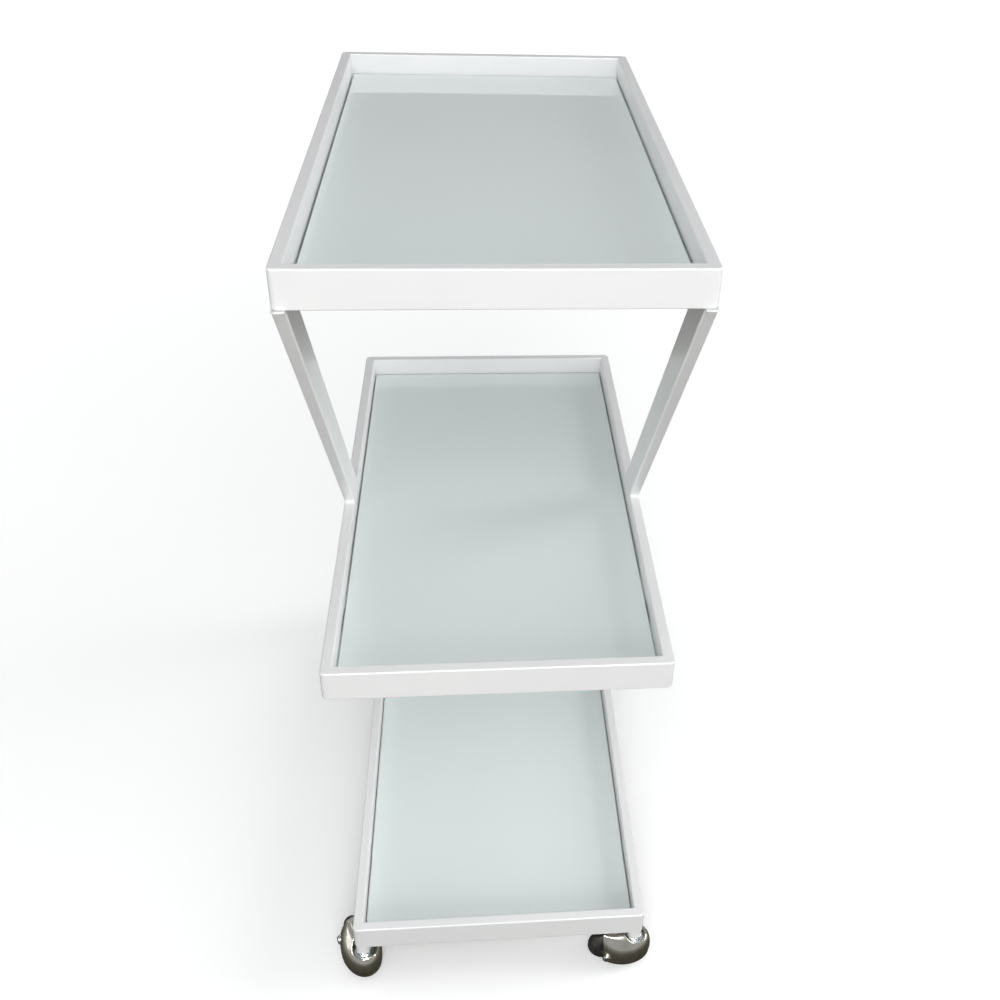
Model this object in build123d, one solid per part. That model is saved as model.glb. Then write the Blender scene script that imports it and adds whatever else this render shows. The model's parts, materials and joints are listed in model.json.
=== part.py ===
"""Rolling salon trolley: three tube trays one above another, Z-shaped side struts, glass shelves
and four chrome hooded swivel casters.

The origin is on the floor under the middle of the trolley. +Z is up, +X is to the right and the
front is at -Y. All sizes are in millimetres.
"""

import os
from math import acos, atan2, cos, degrees, hypot, tan

from build123d import *

# Trays: mitred rectangular tube standing on edge
TRAY_WIDTH = 300.0
TRAY_DEPTH = 540.0
TRAY_SPACING = 365.0
TUBE_HEIGHT = 30.0
TUBE_WIDTH = 10.0
TUBE_WALL = 1.2
TUBE_EDGE_RADIUS = 1.5
CORNER_RADIUS = 5.0
FRAME_CLEARANCE = 47.0
TRAYS = ("bottom", "middle", "top")

# Glass shelves, lying on padded lugs inside the trays
GLASS_DROP = 20.0
GLASS_THICKNESS = 5.0
GLASS_SIDE_GAP = 1.5
GLASS_END_GAP = 1.0
GLASS_EDGE_BEVEL = 0.4
GLASS_CORNER_RADIUS = 2.0
LUG_LENGTH = 24.0
LUG_REACH = 14.0
LUG_THICKNESS = 2.0
LUG_CORNER_RADIUS = 2.0
SIDE_LUG_OFFSET = 175.0
PAD_RADIUS = 4.5
PAD_THICKNESS = 1.2

# Caster mounting under the corners of the bottom tray
STEM_INSET = 8.0
BOSS_RADIUS = 7.5
BOSS_LENGTH = 12.0
STEM_RADIUS = 4.0
STEM_THREAD_CLEARANCE = 0.05
STEM_THREAD_LENGTH = 10.5

# Caster, measured from its stem axis (x runs back towards the wheel) and from the floor (z)
WHEEL_RADIUS = 18.5
WHEEL_WIDTH = 17.0
TRAIL = 30.0
HUB_RADIUS = 12.0
HUB_WIDTH = 15.0
TREAD_RADIUS = 8.5
AXLE_RADIUS = 2.5
AXLE_CLEARANCE = 0.05
AXLE_HEAD_RADIUS = 4.2
AXLE_BOSS_RADIUS = 5.2
AXLE_BOSS_ROUNDING = 0.6
AXLE_HEAD_HEIGHT = 1.6
SPACER_RADIUS = 4.5
SPACER_GAP = 0.4
HOOD_WALL = 1.2
HOOD_BOTTOM = 9.0
HOOD_RIM = 33.5
RIM_BEAD_WIDTH = 2.4
RIM_BEAD_PROUD = 0.7
RECESS_RADIUS = 11.2
RECESS_LIP_RADIUS = 1.5
RECESS_FLOOR = 27.0
RECESS_WALL = 1.2
COLLAR_RADIUS = 8.2
COLLAR_TOP = 35.0
COLLAR_BOTTOM = 30.6
PIVOT_RADIUS = 3.95
PIVOT_HEAD_RADIUS = 5.5
PIVOT_HEAD_HEIGHT = 1.4
CUP_RADIUS = 10.0
CUP_BORE_RADIUS = 4.0
CUP_TOP = 30.2
BALL_RADIUS = 1.2
BALL_RING_RADIUS = 6.6
BALL_COUNT = 10
BALL_TOP_GAP = 0.06
RUNNING_GAP = 0.05

# Hood outline at rising heights: (height, front end, back end, half width)
HOOD_SECTIONS = (
    (HOOD_BOTTOM, -17.9, 39.4, 19.9),
    (15.0, -18.5, 40.0, 20.5),
    (22.0, -18.5, 40.0, 20.5),
    (28.0, -17.3, 39.6, 19.4),
    (32.5, -14.7, 39.0, 17.2),
    (36.0, -9.5, 38.2, 14.2),
    (39.0, -2.0, 37.2, 10.8),
    (41.0, 7.0, 35.8, 6.8),
    (42.0, 12.5, 34.4, 3.4),
)

# Rest heading of each caster: the direction its wheel trails, anticlockwise from +X
CASTER_HEADINGS = {
    "front_left": 115.0,
    "front_right": 181.0,
    "back_left": 1.0,
    "back_right": 295.0,
}

# Struts run in one straight slanting line from the front of the top tray to the back of the bottom one
Z_HEIGHT = 2 * TRAY_SPACING - TUBE_HEIGHT
STRUT_ANGLE = acos(TUBE_HEIGHT / hypot(TRAY_DEPTH, Z_HEIGHT)) - atan2(Z_HEIGHT, TRAY_DEPTH)
STRUT_RUN = tan(STRUT_ANGLE)


def tray_bottom(tray):
    """Height of the underside of a tray."""
    return FRAME_CLEARANCE + TRAYS.index(tray) * TRAY_SPACING


def tray_top(tray):
    """Height of the rim of a tray."""
    return tray_bottom(tray) + TUBE_HEIGHT


def tube(length):
    """Rectangular tube along X, centred on the origin, standing on its narrow side."""
    outer = RectangleRounded(TUBE_WIDTH, TUBE_HEIGHT, TUBE_EDGE_RADIUS)
    bore_width = TUBE_WIDTH - 2 * TUBE_WALL
    bore_height = TUBE_HEIGHT - 2 * TUBE_WALL
    bore = RectangleRounded(bore_width, bore_height, TUBE_EDGE_RADIUS / 3)
    return extrude(Plane.YZ * (outer - bore), length / 2, both=True)


def plan_prism(inset, height):
    """Block with the trolley's outline in plan, its corners ground round; centred on the origin."""
    width, depth = TRAY_WIDTH - 2 * inset, TRAY_DEPTH - 2 * inset
    return extrude(RectangleRounded(width, depth, CORNER_RADIUS - inset), height / 2, both=True)


def tray_ring():
    """The whole tube ring of a tray, before it is parted at the mitres; centred on the origin."""
    inside_width, inside_depth = TRAY_WIDTH - 2 * TUBE_WIDTH, TRAY_DEPTH - 2 * TUBE_WIDTH
    ring = plan_prism(0, TUBE_HEIGHT) - Box(inside_width, inside_depth, 2 * TUBE_HEIGHT)
    level_edges = ring.edges().group_by(Axis.Z)
    ring = fillet(level_edges[0] + level_edges[-1], TUBE_EDGE_RADIUS)
    bore_height = TUBE_HEIGHT - 2 * TUBE_WALL
    core = Box(inside_width + 2 * TUBE_WALL, inside_depth + 2 * TUBE_WALL, 2 * TUBE_HEIGHT)
    return ring - (plan_prism(TUBE_WALL, bore_height) - core)


def mitre_wedge(width, depth):
    """Prism over the triangle between the tray's centre line and one side, with 45 degree ends."""
    half_width = width / 2
    ridge = depth / 2 - half_width
    outline = Polyline(
        (-half_width, depth / 2),
        (half_width, depth / 2),
        (0, ridge),
        close=True,
    )
    return extrude(make_face(outline), TUBE_HEIGHT, both=True)


def tray_rails():
    """The four mitred sides of a tray ring by name, centred on the origin."""
    ring = tray_ring()
    wedges = {
        "back": mitre_wedge(TRAY_WIDTH, TRAY_DEPTH),
        "left": Rot(0, 0, 90) * mitre_wedge(TRAY_DEPTH, TRAY_WIDTH),
        "front": Rot(0, 0, 180) * mitre_wedge(TRAY_WIDTH, TRAY_DEPTH),
        "right": Rot(0, 0, 270) * mitre_wedge(TRAY_DEPTH, TRAY_WIDTH),
    }
    return {side: ring & wedge for side, wedge in wedges.items()}


def strut(side, storey):
    """Slanting tube between the tray above and the tray below, cut level at both ends."""
    lower_tray, upper_tray = {"upper": ("middle", "top"), "lower": ("bottom", "middle")}[storey]
    low, high = tray_top(lower_tray), tray_bottom(upper_tray)
    z_middle = tray_bottom("middle") + TUBE_HEIGHT / 2
    x = (TRAY_WIDTH - TUBE_WIDTH) / 2 * (-1 if side == "left" else 1)
    upright = Rot(0, 90, 0) * tube(2 * TRAY_DEPTH)
    edge_on = Rot(0, 0, 90) * upright
    slanted = Rot(degrees(STRUT_ANGLE), 0, 0) * edge_on
    slanted = Pos(x, 0, z_middle) * slanted
    slab = Pos(x, 0, (low + high) / 2) * Box(2 * TUBE_WIDTH, 2 * TRAY_DEPTH, high - low)
    return slanted & slab


def glass_bottom(tray):
    """Height of the underside of the glass in a tray."""
    return tray_top(tray) - GLASS_DROP - GLASS_THICKNESS


def glass_shelf(tray):
    """Loose glass plate with ground edges."""
    width = TRAY_WIDTH - 2 * (TUBE_WIDTH + GLASS_SIDE_GAP)
    depth = TRAY_DEPTH - 2 * (TUBE_WIDTH + GLASS_END_GAP)
    plate = extrude(RectangleRounded(width, depth, GLASS_CORNER_RADIUS), GLASS_THICKNESS)
    level_edges = plate.edges().group_by(Axis.Z)[0] + plate.edges().group_by(Axis.Z)[-1]
    return Pos(0, 0, glass_bottom(tray)) * chamfer(level_edges, GLASS_EDGE_BEVEL)


def lug_places():
    """Middle of the welded edge of each lug, and the way the lug points, in degrees from +X."""
    inner_x = TRAY_WIDTH / 2 - TUBE_WIDTH
    inner_y = TRAY_DEPTH / 2 - TUBE_WIDTH
    places = [(0, -inner_y, 90), (0, inner_y, 270)]
    for y in (-SIDE_LUG_OFFSET, SIDE_LUG_OFFSET):
        places.append((-inner_x, y, 0))
        places.append((inner_x, y, 180))
    return places


def glass_lugs(tray):
    """Flat steel tabs welded inside the tray ring under the glass."""
    tab = Pos(LUG_REACH / 2, 0, 0) * RectangleRounded(LUG_REACH, LUG_LENGTH, LUG_CORNER_RADIUS)
    tab = tab + Pos(LUG_REACH / 4, 0, 0) * Rectangle(LUG_REACH / 2, LUG_LENGTH)
    low = glass_bottom(tray) - PAD_THICKNESS - LUG_THICKNESS
    lugs = [Pos(x, y, low) * Rot(0, 0, turn) * extrude(tab, LUG_THICKNESS) for x, y, turn in lug_places()]
    return Compound(children=lugs)


def glass_pads(tray):
    """Soft round pads on the lugs, which the glass lies on."""
    low = glass_bottom(tray) - PAD_THICKNESS
    pads = []
    for x, y, turn in lug_places():
        reach = Pos(LUG_REACH / 2, 0, PAD_THICKNESS / 2) * Cylinder(PAD_RADIUS, PAD_THICKNESS)
        pads.append(Pos(x, y, low) * Rot(0, 0, turn) * reach)
    return Compound(children=pads)


def stem_place(corner):
    """Stem axis of a caster on the floor."""
    x = TRAY_WIDTH / 2 - STEM_INSET
    y = TRAY_DEPTH / 2 - STEM_INSET
    return (-x if "left" in corner else x, -y if "front" in corner else y)


def upright_rod(radius, low, high):
    """Round bar about the stem axis between two heights."""
    return Pos(0, 0, (low + high) / 2) * Cylinder(radius, high - low)


def caster_boss(corner):
    """Round bush welded under a corner, with a blind threaded hole for the caster stem."""
    low = FRAME_CLEARANCE - BOSS_LENGTH
    hole_top = low + STEM_THREAD_LENGTH + 0.5
    body = upright_rod(BOSS_RADIUS, low, FRAME_CLEARANCE)
    body = chamfer(body.edges().group_by(Axis.Z)[0], 0.6)
    hole = upright_rod(STEM_RADIUS + STEM_THREAD_CLEARANCE, low - 1, hole_top)
    x, y = stem_place(corner)
    return Pos(x, y, 0) * (body - hole)


def caster_stem():
    """Threaded stem, thrust collar, pivot and riveted pivot head in one turned piece."""
    thread = upright_rod(STEM_RADIUS, COLLAR_TOP, COLLAR_TOP + STEM_THREAD_LENGTH)
    thread = chamfer(thread.edges().group_by(Axis.Z)[-1], 0.8)
    collar = upright_rod(COLLAR_RADIUS, COLLAR_BOTTOM, COLLAR_TOP - RUNNING_GAP)
    collar = fillet(collar.edges().filter_by(GeomType.CIRCLE), 0.7)
    head_top = RECESS_FLOOR - RECESS_WALL - RUNNING_GAP
    pivot = upright_rod(PIVOT_RADIUS, head_top, COLLAR_BOTTOM)
    head = upright_rod(PIVOT_HEAD_RADIUS, head_top - PIVOT_HEAD_HEIGHT, head_top)
    head = fillet(head.edges().group_by(Axis.Z)[0], 0.9)
    neck = upright_rod(STEM_RADIUS, COLLAR_TOP - RUNNING_GAP, COLLAR_TOP)
    return thread + neck + collar + pivot + head


def hood_dome(grow):
    """Egg-shaped dome, larger than the nominal outside by grow on every side; open side downwards."""
    sections = []
    for height, front, back, half_width in HOOD_SECTIONS:
        half_length = (back - front) / 2 + grow
        middle = (back + front) / 2
        raised = height if height == HOOD_BOTTOM else height + grow
        sections.append(Pos(middle, 0, raised) * Ellipse(half_length, half_width + grow))
    return loft(sections)


def caster_hood():
    """Pressed hood with a sunk bearing recess round the stem and a beaded rim behind."""
    before_rim = Pos(HOOD_RIM - 50, 0, 50) * Box(100, 100, 100)
    bead_slab = Pos(HOOD_RIM - RIM_BEAD_WIDTH / 2, 0, 50) * Box(RIM_BEAD_WIDTH, 100, 100)
    outside = hood_dome(0)
    shell = (outside & before_rim) + (hood_dome(RIM_BEAD_PROUD) & bead_slab)
    shell = shell + (axle_bosses() & before_rim)
    cavity = hood_dome(-HOOD_WALL)
    skirt_cut = Pos(12, 0, HOOD_BOTTOM - 5) * Box(100, 100, 10)
    shell = shell - cavity - skirt_cut
    recess_outside = upright_rod(RECESS_RADIUS + RECESS_WALL, RECESS_FLOOR - RECESS_WALL, 60)
    shell = shell + (recess_outside & outside)
    shell = shell - upright_rod(RECESS_RADIUS, RECESS_FLOOR, 60)
    shell = fillet(recess_lip(shell), RECESS_LIP_RADIUS)
    shell = shell - upright_rod(CUP_BORE_RADIUS + 0.5, 0, 60)
    axle_hole = Pos(TRAIL, 0, WHEEL_RADIUS) * Rot(90, 0, 0) * Cylinder(AXLE_RADIUS, 100)
    return shell - axle_hole


def hood_half_width(x, z):
    """Half the outside width of the hood at a place, between its two nearest sections."""
    for lower, upper in zip(HOOD_SECTIONS, HOOD_SECTIONS[1:]):
        if lower[0] <= z <= upper[0]:
            share = (z - lower[0]) / (upper[0] - lower[0])
            _, front, back, half_width = [a + share * (b - a) for a, b in zip(lower, upper)]
            reach = (2 * x - front - back) / (back - front)
            return half_width * (1 - reach * reach) ** 0.5
    raise ValueError("outside the hood")


def axle_head_seat():
    """Distance from the middle of the hood to the flat faces the axle heads are riveted against."""
    return hood_half_width(TRAIL - AXLE_HEAD_RADIUS, WHEEL_RADIUS)


def axle_bosses():
    """Round flat-faced bosses pressed out of the hood where the axle passes."""
    bosses = across(AXLE_BOSS_RADIUS, axle_head_seat())
    rims = bosses.edges().filter_by(GeomType.CIRCLE)
    return fillet(rims, AXLE_BOSS_ROUNDING)


def recess_lip(shell):
    """Upper edges of the bearing recess, where it breaks out through the dome."""
    wall = [
        face
        for face in shell.faces().filter_by(GeomType.CYLINDER)
        if abs(face.radius - RECESS_RADIUS) < 0.01 and face.center().Z > RECESS_FLOOR
    ]
    edges = [edge for face in wall for edge in face.edges()]
    return [edge for edge in edges if edge.geom_type != GeomType.CIRCLE and edge.geom_type != GeomType.LINE]


def swivel_cup():
    """Bearing ring on the recess floor, with a groove for the balls."""
    ring = upright_rod(CUP_RADIUS, RECESS_FLOOR, CUP_TOP) - upright_rod(CUP_BORE_RADIUS, 0, 60)
    groove = Pos(0, 0, ball_height()) * Torus(BALL_RING_RADIUS, BALL_RADIUS + RUNNING_GAP)
    return ring - groove


def ball_height():
    """Height of the ball centres, just clear of the collar above them."""
    return COLLAR_BOTTOM - BALL_TOP_GAP - BALL_RADIUS


def swivel_balls():
    """Ring of bearing balls between the cup and the collar."""
    places = PolarLocations(BALL_RING_RADIUS, BALL_COUNT)
    return Compound(children=[Pos(0, 0, ball_height()) * place * Sphere(BALL_RADIUS) for place in places])


def across(radius, half_length):
    """Round bar along the wheel axle."""
    return Pos(TRAIL, 0, WHEEL_RADIUS) * Rot(90, 0, 0) * Cylinder(radius, 2 * half_length)


def wheel_axle():
    """Axle pin with domed riveted heads outside the hood."""
    outside = axle_head_seat()
    pin = across(AXLE_RADIUS, outside + AXLE_HEAD_HEIGHT / 2)
    heads = across(AXLE_HEAD_RADIUS, outside + AXLE_HEAD_HEIGHT) - across(AXLE_HEAD_RADIUS + 1, outside)
    rims = heads.edges().filter_by(GeomType.CIRCLE).group_by(Axis.Y)
    heads = fillet(rims[0] + rims[-1], AXLE_HEAD_HEIGHT * 0.8)
    return pin + heads


def axle_spacers():
    """Sleeves that keep the wheel in the middle of the hood."""
    inside = hood_half_width(TRAIL + SPACER_RADIUS, WHEEL_RADIUS) - HOOD_WALL - SPACER_GAP
    inner_end = WHEEL_WIDTH / 2 + SPACER_GAP
    sleeves = across(SPACER_RADIUS, inside) - across(SPACER_RADIUS + 1, inner_end)
    return sleeves - across(AXLE_RADIUS, 50)


def wheel_hub():
    """Plastic wheel centre with a running bore and a waist that holds the tyre."""
    hub = across(HUB_RADIUS, HUB_WIDTH / 2)
    hub = chamfer(hub.edges().filter_by(GeomType.CIRCLE), 0.8)
    bearing_face = across(SPACER_RADIUS + 1.5, WHEEL_WIDTH / 2)
    return hub + bearing_face - across(AXLE_RADIUS + AXLE_CLEARANCE, 50)


def wheel_tyre():
    """Rubber tyre with a fully rounded tread."""
    core_radius = WHEEL_RADIUS - TREAD_RADIUS
    tread = Torus(core_radius, TREAD_RADIUS)
    filled = Cylinder(core_radius, 2 * TREAD_RADIUS)
    ring = Pos(TRAIL, 0, WHEEL_RADIUS) * Rot(90, 0, 0) * (tread + filled)
    return ring - across(HUB_RADIUS, 50)


def write(name, shape):
    """Saves one sub-part."""
    shape.label = name
    export_step(shape, f"parts/{name}.step")


def build_frame():
    rails = tray_rails()
    for tray in TRAYS:
        for side, rail in rails.items():
            write(f"{tray}_tray_{side}_rail", Pos(0, 0, tray_bottom(tray) + TUBE_HEIGHT / 2) * rail)
        write(f"{tray}_tray_glass_lugs", glass_lugs(tray))
        write(f"{tray}_tray_glass_pads", glass_pads(tray))
        write(f"{tray}_glass_shelf", glass_shelf(tray))
    for side in ("left", "right"):
        for storey in ("upper", "lower"):
            write(f"{storey}_{side}_strut", strut(side, storey))
    write("caster_bosses", Compound(children=[caster_boss(corner) for corner in CASTER_HEADINGS]))


def build_casters():
    pieces = {
        "stem": caster_stem(),
        "hood": caster_hood(),
        "swivel_cup": swivel_cup(),
        "swivel_balls": swivel_balls(),
        "axle": wheel_axle(),
        "axle_spacers": axle_spacers(),
        "wheel_hub": wheel_hub(),
        "tyre": wheel_tyre(),
    }
    for corner, heading in CASTER_HEADINGS.items():
        x, y = stem_place(corner)
        for piece, shape in pieces.items():
            write(f"{corner}_caster_{piece}", Pos(x, y, 0) * Rot(0, 0, heading) * shape)


os.makedirs("parts", exist_ok=True)
build_frame()
build_casters()
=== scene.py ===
"""Looks of the rolling salon trolley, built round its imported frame.

All lengths are in metres: origin on the floor under the middle, +Z up, front towards -Y.
"""

import json
import math

import bmesh
import bpy
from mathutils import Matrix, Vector


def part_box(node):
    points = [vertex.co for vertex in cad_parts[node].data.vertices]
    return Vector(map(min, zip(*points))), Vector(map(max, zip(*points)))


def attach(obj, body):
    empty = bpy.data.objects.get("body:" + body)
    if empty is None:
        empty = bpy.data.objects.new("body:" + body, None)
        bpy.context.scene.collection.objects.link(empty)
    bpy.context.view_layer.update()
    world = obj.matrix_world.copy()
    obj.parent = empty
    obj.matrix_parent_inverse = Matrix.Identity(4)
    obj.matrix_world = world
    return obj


SIDES = ("left", "right")
TUBE_HEIGHT = 0.030

# The camera: where it stands, how it is turned, and its lens
CAMERA_PLACE = (-0.01606, -0.92751, 1.10925)
CAMERA_TURN = (55.9, -2.08, -4.71)
CAMERA_LENS = 39.27
CAMERA_SHIFT = (-0.0737, -0.0484)

# Struts: about how far they slant from upright, in degrees, and the length of a level cut through one
STRUT_SLANT = 35.68
STRUT_FOOT = TUBE_HEIGHT / math.cos(math.radians(STRUT_SLANT))

# Weld beads where the struts meet the trays
BEAD_REACH = 0.0042
BEAD_HOLLOW = 0.22
BEAD_SINK = 0.0003
BEAD_EDGE_INSET = 0.0004
BEAD_STEPS = 8
BEAD_SLICES = 24
BEAD_END_SHRINK = 0.35
BEAD_RIPPLE = 0.05
BEAD_RIPPLE_TURNS = 9.0
BEAD_SEED_STEP = 50

# Staging: the floor's own glow grows between two distances from the middle, so the floor is darker
# near the trolley: painted shade round it
FLOOR_SIZE = 14.0
FLOOR_GLOW_REACH = (0.3, 2.6)
FLOOR_GLOW = (0.28, 0.70)
BACKDROP_RADIUS = 11.0
WHITE = (1.0, 1.0, 1.0, 1.0)
BLACK = (0.0, 0.0, 0.0, 1.0)

# Colour of the surroundings by the sine of the height angle, from straight down to straight up
WORLD_COLOURS = (
    (-1.0, (0.050, 0.047, 0.036)),
    (-0.45, (0.120, 0.115, 0.098)),
    (-0.12, (0.270, 0.262, 0.240)),
    (0.06, (0.475, 0.480, 0.485)),
    (0.70, (0.410, 0.415, 0.420)),
)

# Soft boxes: name, place, size, power in watts, and whether they show as reflections
LIGHTS = (
    ("front", (0.0, -2.2, 0.9), (1.2, 1.0), 21.0, False),
    ("right", (2.0, 0.0, 1.0), (1.0, 1.2), 22.0, True),
    ("left", (-2.0, 0.0, 1.0), (1.0, 1.2), 4.0, True),
    ("over_camera", (0.0, -1.5, 2.0), (1.0, 0.5), 10.0, False),
)
LIGHT_TARGET = (0.0, 0.0, 0.4)

# Small bright panels overhead that only show as reflections
SPARKLES = (
    ("sparkle_left", (-0.45, -0.95, 2.0), (0.35, 0.45), 22.0),
    ("sparkle_right", (0.35, -0.95, 2.0), (0.35, 0.45), 22.0),
)


# ---------------------------------------------------------------- materials


class Nodes:
    """Short way to add and join the nodes of one material."""

    def __init__(self, name):
        self.material = bpy.data.materials.new(name)
        self.material.use_nodes = True
        self.tree = self.material.node_tree
        self.tree.nodes.clear()
        self.output = self.tree.nodes.new("ShaderNodeOutputMaterial")
        self.shader = self.tree.nodes.new("ShaderNodeBsdfPrincipled")
        self.join(self.shader.outputs["BSDF"], self.output.inputs["Surface"])
        self.place = self.tree.nodes.new("ShaderNodeTexCoord").outputs["Object"]

    def join(self, source, target):
        self.tree.links.new(source, target)

    def set(self, **values):
        """Sets sockets of the shader; an underscore in a name stands for a space."""
        for name, value in values.items():
            self.shader.inputs[name.replace("_", " ")].default_value = value

    def noise(self, scale, detail=2.0, roughness=0.5, stretch=None):
        """Noise over the object's own coordinates, given as a value from 0 to 1."""
        place = self.place
        if stretch:
            mapping = self.tree.nodes.new("ShaderNodeMapping")
            mapping.inputs["Scale"].default_value = stretch
            self.join(self.place, mapping.inputs["Vector"])
            place = mapping.outputs["Vector"]
        node = self.tree.nodes.new("ShaderNodeTexNoise")
        node.inputs["Scale"].default_value = scale
        node.inputs["Detail"].default_value = detail
        node.inputs["Roughness"].default_value = roughness
        self.join(place, node.inputs["Vector"])
        return node.outputs["Fac"]

    def spread(self, value, low, high, start=0.0, end=1.0):
        """Maps a value from low..high to start..end."""
        node = self.tree.nodes.new("ShaderNodeMapRange")
        limits = {"From Min": low, "From Max": high, "To Min": start, "To Max": end}
        for name, number in limits.items():
            node.inputs[name].default_value = number
        self.join(value, node.inputs["Value"])
        return node.outputs["Result"]

    def blend(self, share, first, second):
        """Colour between first and second; each is a colour or a socket."""
        node = self.tree.nodes.new("ShaderNodeMix")
        node.data_type = "RGBA"
        self.join(share, node.inputs["Factor"])
        for socket, colour in ((node.inputs[6], first), (node.inputs[7], second)):
            if isinstance(colour, bpy.types.NodeSocket):
                self.join(colour, socket)
            else:
                socket.default_value = (*colour, 1.0)
        return node.outputs[2]

    def bump(self, height, strength, distance):
        """Surface relief of the given depth in metres."""
        node = self.tree.nodes.new("ShaderNodeBump")
        node.inputs["Strength"].default_value = strength
        node.inputs["Distance"].default_value = distance
        self.join(height, node.inputs["Height"])
        return node.outputs["Normal"]


def powder_coat():
    """White powder coat: semi-gloss with a very fine orange-peel surface."""
    n = Nodes("white_powder_coat")
    n.set(Roughness=0.34, IOR=1.5, Coat_Weight=0.25, Coat_Roughness=0.12)
    tone = n.spread(n.noise(9.0, 3.0), 0.3, 0.7)
    n.join(n.blend(tone, (0.86, 0.865, 0.87), (0.90, 0.90, 0.90)), n.shader.inputs["Base Color"])
    n.join(n.spread(n.noise(60.0, 2.0), 0.3, 0.7, 0.28, 0.42), n.shader.inputs["Roughness"])
    n.join(n.bump(n.noise(900.0, 1.0), 0.12, 0.00008), n.shader.inputs["Normal"])
    return n.material


def shelf_glass():
    """Milky grey-green glass, nearly opaque, with a polished surface."""
    n = Nodes("milky_glass")
    n.set(Roughness=0.07, IOR=1.52, Coat_Weight=0.6, Coat_Roughness=0.03)
    tone = n.spread(n.noise(4.0, 2.0), 0.3, 0.7)
    face = n.blend(tone, (0.820, 0.895, 0.885), (0.850, 0.920, 0.910))
    normal = n.tree.nodes.new("ShaderNodeSeparateXYZ")
    n.join(n.tree.nodes.new("ShaderNodeNewGeometry").outputs["Normal"], normal.inputs["Vector"])
    flatness = n.tree.nodes.new("ShaderNodeMath")
    flatness.operation = "ABSOLUTE"
    n.join(normal.outputs["Z"], flatness.inputs[0])
    edge = n.spread(flatness.outputs["Value"], 0.5, 0.9)
    n.join(n.blend(edge, (0.24, 0.42, 0.37), face), n.shader.inputs["Base Color"])
    n.join(n.spread(n.noise(18.0, 4.0, 0.6), 0.35, 0.75, 0.05, 0.13), n.shader.inputs["Roughness"])
    return n.material


def silicone():
    """Clear silicone, slightly cloudy."""
    n = Nodes("clear_silicone")
    n.set(Roughness=0.4, IOR=1.43)
    tone = n.spread(n.noise(120.0, 2.0), 0.3, 0.7)
    n.join(n.blend(tone, (0.62, 0.65, 0.65), (0.72, 0.74, 0.74)), n.shader.inputs["Base Color"])
    n.join(n.bump(n.noise(500.0, 2.0), 0.2, 0.0001), n.shader.inputs["Normal"])
    return n.material


def hood_chrome():
    """Dark polished chrome with faint smears and a dusty bloom."""
    n = Nodes("hood_chrome")
    n.set(Metallic=1.0, Roughness=0.14)
    tone = n.spread(n.noise(70.0, 4.0, 0.65), 0.32, 0.72)
    n.join(n.blend(tone, (0.55, 0.535, 0.47), (0.72, 0.70, 0.64)), n.shader.inputs["Base Color"])
    n.join(n.spread(n.noise(110.0, 5.0, 0.7), 0.3, 0.75, 0.12, 0.26), n.shader.inputs["Roughness"])
    n.join(n.bump(n.noise(260.0, 3.0), 0.18, 0.00015), n.shader.inputs["Normal"])
    return n.material


def zinc_steel():
    """Bright zinc-plated turned steel, with fine rings left by the lathe."""
    n = Nodes("zinc_steel")
    n.set(Metallic=1.0, Roughness=0.25)
    tone = n.spread(n.noise(160.0, 3.0, 0.6), 0.3, 0.7)
    n.join(n.blend(tone, (0.62, 0.67, 0.69), (0.80, 0.83, 0.84)), n.shader.inputs["Base Color"])
    n.join(n.spread(n.noise(240.0, 3.0), 0.3, 0.7, 0.18, 0.36), n.shader.inputs["Roughness"])
    rings = n.noise(300.0, 2.0, 0.5, (1.0, 1.0, 8.0))
    n.join(n.bump(rings, 0.15, 0.0001), n.shader.inputs["Normal"])
    return n.material


def black_plastic():
    """Matt black moulded plastic."""
    n = Nodes("black_plastic")
    n.set(Roughness=0.5, IOR=1.5)
    tone = n.spread(n.noise(140.0, 3.0), 0.3, 0.7)
    colour = n.blend(tone, (0.016, 0.016, 0.017), (0.032, 0.031, 0.030))
    n.join(colour, n.shader.inputs["Base Color"])
    n.join(n.bump(n.noise(1400.0, 2.0), 0.25, 0.0001), n.shader.inputs["Normal"])
    return n.material


def tyre_rubber():
    """Dark rubber with a dusty worn tread."""
    n = Nodes("tyre_rubber")
    n.set(Roughness=0.55, IOR=1.52)
    dust = n.spread(n.noise(110.0, 5.0, 0.7), 0.42, 0.75)
    colour = n.blend(dust, (0.017, 0.014, 0.013), (0.060, 0.052, 0.046))
    n.join(colour, n.shader.inputs["Base Color"])
    n.join(n.spread(n.noise(150.0, 3.0), 0.3, 0.7, 0.42, 0.68), n.shader.inputs["Roughness"])
    n.join(n.bump(n.noise(800.0, 3.0, 0.6), 0.3, 0.00015), n.shader.inputs["Normal"])
    return n.material


def studio_floor():
    """Plain pale floor that glows more the further it is from the object: dimmer round the trolley as
    painted shade, brighter far off.
    """
    n = Nodes("floor_white")
    n.set(Roughness=0.8, Specular_IOR_Level=0.1)
    colour = n.blend(n.noise(0.6), (0.84, 0.84, 0.845), (0.85, 0.85, 0.85))
    n.join(colour, n.shader.inputs["Base Color"])
    n.shader.inputs["Emission Color"].default_value = WHITE
    distance = n.tree.nodes.new("ShaderNodeVectorMath")
    distance.operation = "LENGTH"
    n.join(n.place, distance.inputs[0])
    # Painted shade: the floor glows less near the trolley and more far from it
    glow = n.spread(distance.outputs["Value"], *FLOOR_GLOW_REACH, *FLOOR_GLOW)
    n.join(glow, n.shader.inputs["Emission Strength"])
    return n.material


def studio_backdrop():
    """Evenly white backdrop that takes no light and casts none."""
    n = Nodes("backdrop_white")
    n.set(Roughness=1.0, Specular_IOR_Level=0.0, Emission_Strength=1.0)
    n.shader.inputs["Base Color"].default_value = BLACK
    n.shader.inputs["Emission Color"].default_value = WHITE
    return n.material


# ---------------------------------------------------------------- scene parts


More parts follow.
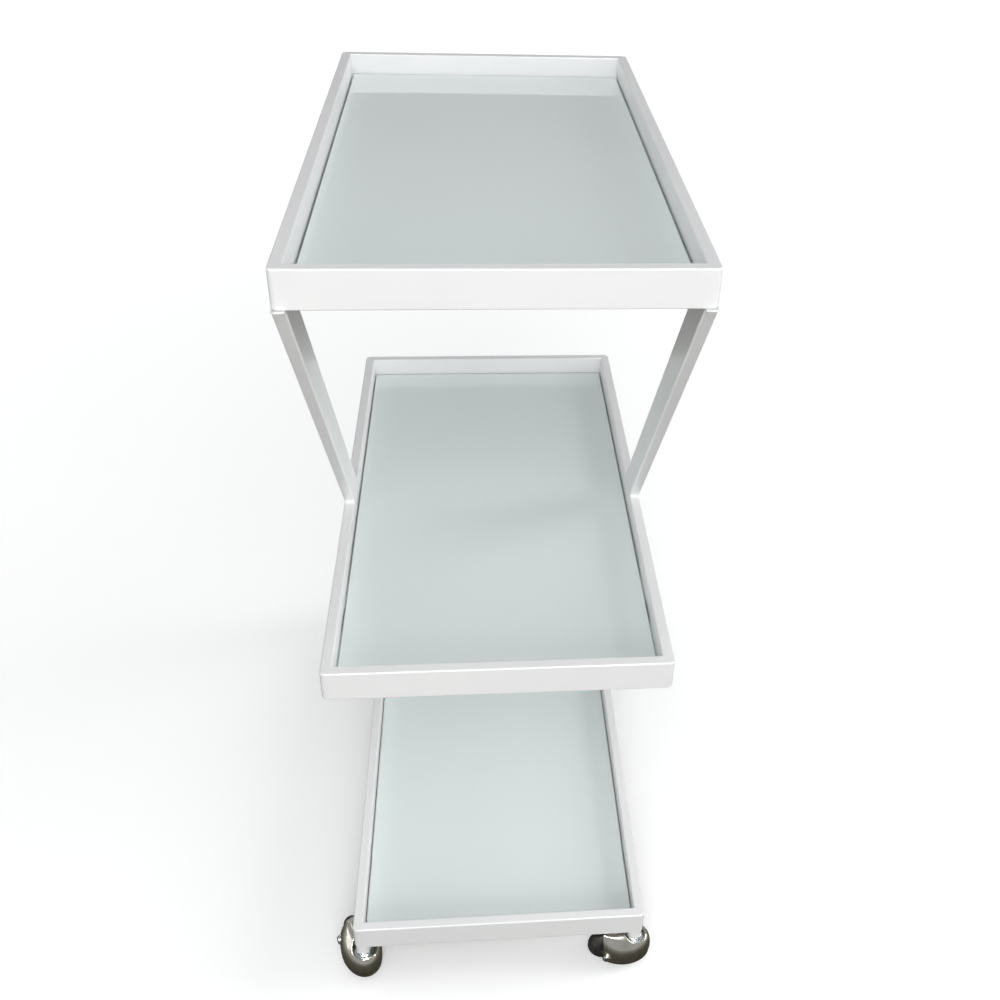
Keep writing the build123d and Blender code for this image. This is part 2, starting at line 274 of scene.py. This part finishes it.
def dress(frame, materials):
    """Gives every CAD node the material of its slot in the record."""
    for part in frame["record"]["subparts"]:
        obj = frame["nodes"][part["node"]]
        obj.data.materials.clear()
        obj.data.materials.append(materials[part["material_slot"]])


def add_camera():
    """Camera in front of the trolley and above it, looking down."""
    data = bpy.data.cameras.new("camera")
    camera = bpy.data.objects.new("camera", data)
    bpy.context.scene.collection.objects.link(camera)
    camera.location = CAMERA_PLACE
    camera.rotation_euler = [math.radians(angle) for angle in CAMERA_TURN]
    data.sensor_width = 36.0
    data.lens = CAMERA_LENS
    data.shift_x, data.shift_y = CAMERA_SHIFT
    bpy.context.scene.camera = camera


def add_floor(material):
    """Floor under the trolley, which lights nothing and shows in no reflection."""
    mesh = bpy.data.meshes.new("floor")
    half = FLOOR_SIZE / 2
    corners = [(-half, -half, 0), (half, -half, 0), (half, half, 0), (-half, half, 0)]
    mesh.from_pydata(corners, [], [(0, 1, 2, 3)])
    floor = bpy.data.objects.new("floor", mesh)
    bpy.context.scene.collection.objects.link(floor)
    mesh.materials.append(material)
    floor.visible_diffuse = False
    floor.visible_glossy = False


def add_backdrop(material):
    """White all round beyond the floor, seen only by the camera."""
    dome = bmesh.new()
    bmesh.ops.create_icosphere(dome, subdivisions=4, radius=BACKDROP_RADIUS)
    mesh = bpy.data.meshes.new("backdrop")
    dome.to_mesh(mesh)
    dome.free()
    backdrop = bpy.data.objects.new("backdrop", mesh)
    bpy.context.scene.collection.objects.link(backdrop)
    mesh.materials.append(material)
    backdrop.visible_diffuse = False
    backdrop.visible_glossy = False
    backdrop.visible_shadow = False


def add_light(name, place, target, size, power):
    """Rectangular soft box facing the target."""
    data = bpy.data.lights.new(name, "AREA")
    data.shape = "RECTANGLE"
    data.size, data.size_y = size
    data.energy = power
    light = bpy.data.objects.new(name, data)
    bpy.context.scene.collection.objects.link(light)
    light.location = place
    light.rotation_euler = (Vector(target) - Vector(place)).to_track_quat("-Z", "Y").to_euler()
    return light


def add_world():
    """Even light from all round: a white room above and a darker warm floor below."""
    world = bpy.data.worlds.new("world")
    bpy.context.scene.world = world
    world.use_nodes = True
    tree = world.node_tree
    background = tree.nodes["Background"]
    background.inputs["Strength"].default_value = 1.0
    split = tree.nodes.new("ShaderNodeSeparateXYZ")
    rise = tree.nodes.new("ShaderNodeMapRange")
    rise.inputs["From Min"].default_value = -1.0
    ramp = tree.nodes.new("ShaderNodeValToRGB").color_ramp
    while len(ramp.elements) < len(WORLD_COLOURS):
        ramp.elements.new(0.5)
    for element, (height, colour) in zip(ramp.elements, WORLD_COLOURS):
        element.position = (height + 1) / 2
        element.color = (*colour, 1.0)
    ramp_node = tree.nodes["Color Ramp"]
    place = tree.nodes.new("ShaderNodeTexCoord")
    tree.links.new(place.outputs["Generated"], split.inputs["Vector"])
    tree.links.new(split.outputs["Z"], rise.inputs["Value"])
    tree.links.new(rise.outputs["Result"], ramp_node.inputs["Fac"])
    tree.links.new(ramp_node.outputs["Color"], background.inputs["Color"])
    bpy.context.scene.view_settings.view_transform = "Standard"


# ---------------------------------------------------------------- weld beads


def bead_section(corner, along_rail, along_strut, reach):
    """Outline in (y, z) of a weld between a rail and a strut face: two legs and a hollow curve."""
    first = corner + along_rail * reach
    last = corner + along_strut * reach
    middle = corner + (first + last - 2 * corner) * BEAD_HOLLOW
    points = [corner - (along_rail + along_strut) * BEAD_SINK]
    for step in range(BEAD_STEPS + 1):
        t = step / BEAD_STEPS
        points.append(first * (1 - t) ** 2 + middle * 2 * t * (1 - t) + last * t**2)
    return points


def add_bead(mesh, corner, along_rail, along_strut, x_from, x_to, seed):
    """Sweeps the section across the strut, its size rippling a little as a hand weld does."""
    rings = []
    for slice_number in range(BEAD_SLICES + 1):
        t = slice_number / BEAD_SLICES
        end = 1 - BEAD_END_SHRINK * abs(2 * t - 1) ** 6
        ripple = 1 + BEAD_RIPPLE * math.sin(BEAD_RIPPLE_TURNS * t * math.pi + seed)
        section = bead_section(corner, along_rail, along_strut, BEAD_REACH * end * ripple)
        x = x_from + (x_to - x_from) * t
        rings.append([mesh.verts.new((x, point.x, point.y)) for point in section])
    for one, two in zip(rings, rings[1:]):
        for k in range(len(one)):
            after = (k + 1) % len(one)
            mesh.faces.new((one[k], two[k], two[after], one[after]))
    mesh.faces.new(rings[0])
    mesh.faces.new(list(reversed(rings[-1])))


def add_weld_beads(material):
    """Fillet welds in front of and behind both ends of every strut."""
    mesh = bmesh.new()
    for storey, side in [(storey, side) for storey in ("upper", "lower") for side in SIDES]:
        low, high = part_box(f"{storey}_{side}_strut")
        run = (high.y - low.y - STRUT_FOOT) / (high.z - low.z)
        up = Vector((-run, 1.0)).normalized()
        left = low.x + BEAD_EDGE_INSET
        right = high.x - BEAD_EDGE_INSET
        ends = (
            (low.z, up, high.y - STRUT_FOOT, high.y),
            (high.z, -up, low.y, low.y + STRUT_FOOT),
        )
        for height, along_strut, front, back in ends:
            for y, outward in ((front, -1.0), (back, 1.0)):
                corner = Vector((y, height))
                along_rail = Vector((outward, 0.0))
                add_bead(mesh, corner, along_rail, along_strut, left, right, y * BEAD_SEED_STEP)
    bmesh.ops.recalc_face_normals(mesh, faces=mesh.faces)
    data = bpy.data.meshes.new("weld_beads")
    mesh.to_mesh(data)
    mesh.free()
    data.shade_smooth()
    beads = bpy.data.objects.new("weld_beads", data)
    bpy.context.scene.collection.objects.link(beads)
    data.materials.append(material)
    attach(beads, "frame")


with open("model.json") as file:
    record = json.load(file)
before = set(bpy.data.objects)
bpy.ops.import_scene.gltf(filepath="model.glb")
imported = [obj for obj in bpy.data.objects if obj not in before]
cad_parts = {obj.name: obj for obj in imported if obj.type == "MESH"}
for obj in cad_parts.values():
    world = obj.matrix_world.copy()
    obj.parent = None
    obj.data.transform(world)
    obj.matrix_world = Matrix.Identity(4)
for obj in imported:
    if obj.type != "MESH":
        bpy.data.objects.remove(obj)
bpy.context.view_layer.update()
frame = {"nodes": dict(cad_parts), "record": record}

materials = {
    "white_powder_coat": powder_coat(),
    "milky_glass": shelf_glass(),
    "clear_silicone": silicone(),
    "hood_chrome": hood_chrome(),
    "zinc_steel": zinc_steel(),
    "black_plastic": black_plastic(),
    "tyre_rubber": tyre_rubber(),
}
dress(frame, materials)
add_weld_beads(materials["white_powder_coat"])
add_floor(studio_floor())
add_backdrop(studio_backdrop())
add_camera()
add_world()
for name, place, size, power, reflected in LIGHTS:
    add_light(name, place, LIGHT_TARGET, size, power).visible_glossy = reflected
for name, place, size, power in SPARKLES:
    add_light(name, place, LIGHT_TARGET, size, power).visible_diffuse = False
